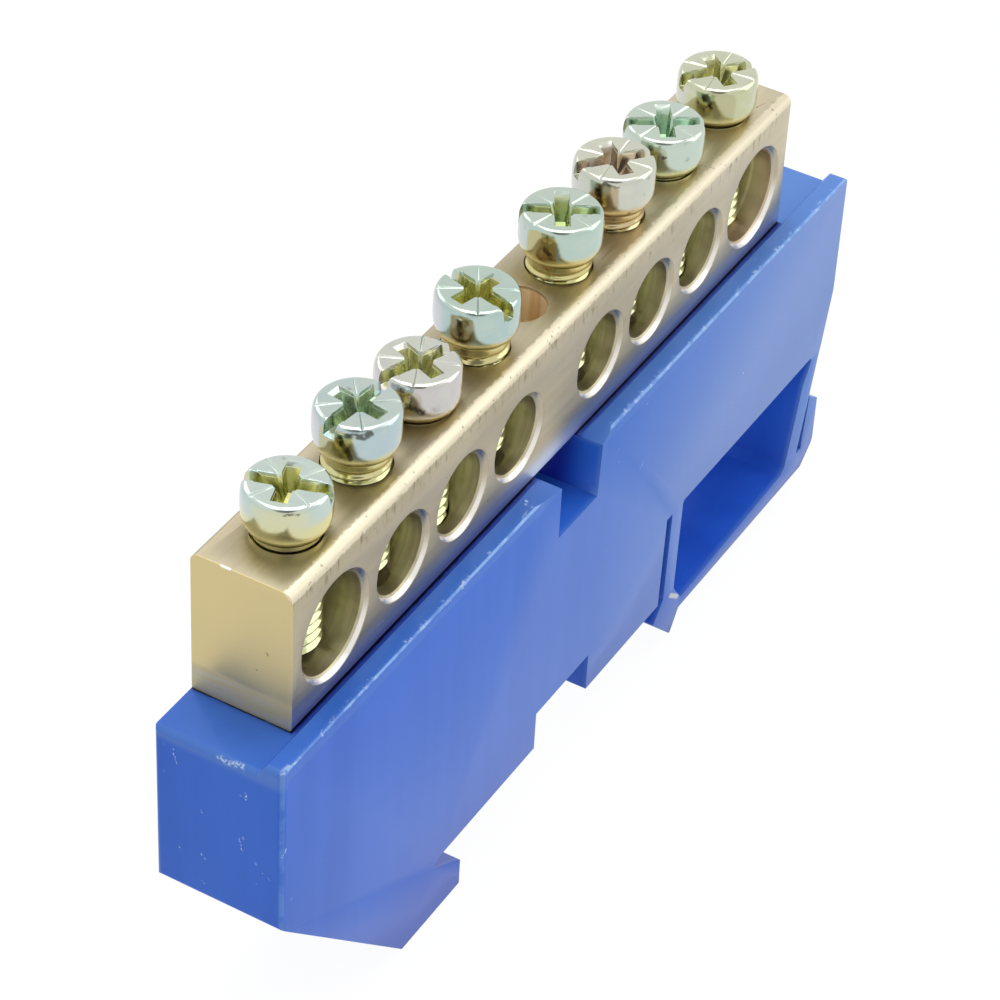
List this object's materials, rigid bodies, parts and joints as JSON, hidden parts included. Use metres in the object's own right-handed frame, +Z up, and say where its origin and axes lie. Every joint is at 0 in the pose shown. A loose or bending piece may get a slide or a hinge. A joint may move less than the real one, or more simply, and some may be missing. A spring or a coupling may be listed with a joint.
{
  "type": "rail-mounted neutral terminal bar",
  "caption": "Drilled brass conductor bar with clamp screws over its wire ports, fixed on a moulded blue insulator block whose spring latch clips onto a mounting rail.",
  "frame": {"origin": "middle of the footprint at the level of the insulator's foot", "axes": "+X along the bar from the fixed hook to the spring latch, +Y from the wire port side to the plain back, +Z up through the clamp screws"},
  "size_m": [0.083, 0.0104, 0.0471],
  "materials": {
    "insulator": "smooth moulded mid-blue plastic with fine scuffs",
    "bar": "pale nickel-toned brass, drawn and lightly scratched",
    "screws": "zinc plated with a yellow-green and pale blue passivated film"
  },
  "bodies": {
    "block": {"insulator": "insulator", "terminal_bar": "bar", "fixing_screw": "screws"},
    "clamp_1": {"terminal_screw_1": "screws"},
    "clamp_2": {"terminal_screw_2": "screws"},
    "clamp_3": {"terminal_screw_3": "screws"},
    "clamp_4": {"terminal_screw_4": "screws"},
    "clamp_5": {"terminal_screw_5": "screws"},
    "clamp_6": {"terminal_screw_6": "screws"},
    "clamp_7": {"terminal_screw_7": "screws"},
    "clamp_8": {"terminal_screw_8": "screws"}
  },
  "joints": [
    {"name": "clamp_screw_1", "type": "slide", "parent": "block", "child": "clamp_1", "axis": [0, 0, 1], "range_m": [-0.00055, 0.00692]},
    {"name": "clamp_screw_2", "type": "slide", "parent": "block", "child": "clamp_2", "axis": [0, 0, 1], "range_m": [-0.0015, 0.00522]},
    {"name": "clamp_screw_3", "type": "slide", "parent": "block", "child": "clamp_3", "axis": [0, 0, 1], "range_m": [-0.0001, 0.00662]},
    {"name": "clamp_screw_4", "type": "slide", "parent": "block", "child": "clamp_4", "axis": [0, 0, 1], "range_m": [-0.0014, 0.00532]},
    {"name": "clamp_screw_5", "type": "slide", "parent": "block", "child": "clamp_5", "axis": [0, 0, 1], "range_m": [-0.0013, 0.00542]},
    {"name": "clamp_screw_6", "type": "slide", "parent": "block", "child": "clamp_6", "axis": [0, 0, 1], "range_m": [-0.0013, 0.00542]},
    {"name": "clamp_screw_7", "type": "slide", "parent": "block", "child": "clamp_7", "axis": [0, 0, 1], "range_m": [-0.00025, 0.00647]},
    {"name": "clamp_screw_8", "type": "slide", "parent": "block", "child": "clamp_8", "axis": [0, 0, 1], "range_m": [-0.00015, 0.00732]}
  ]
}
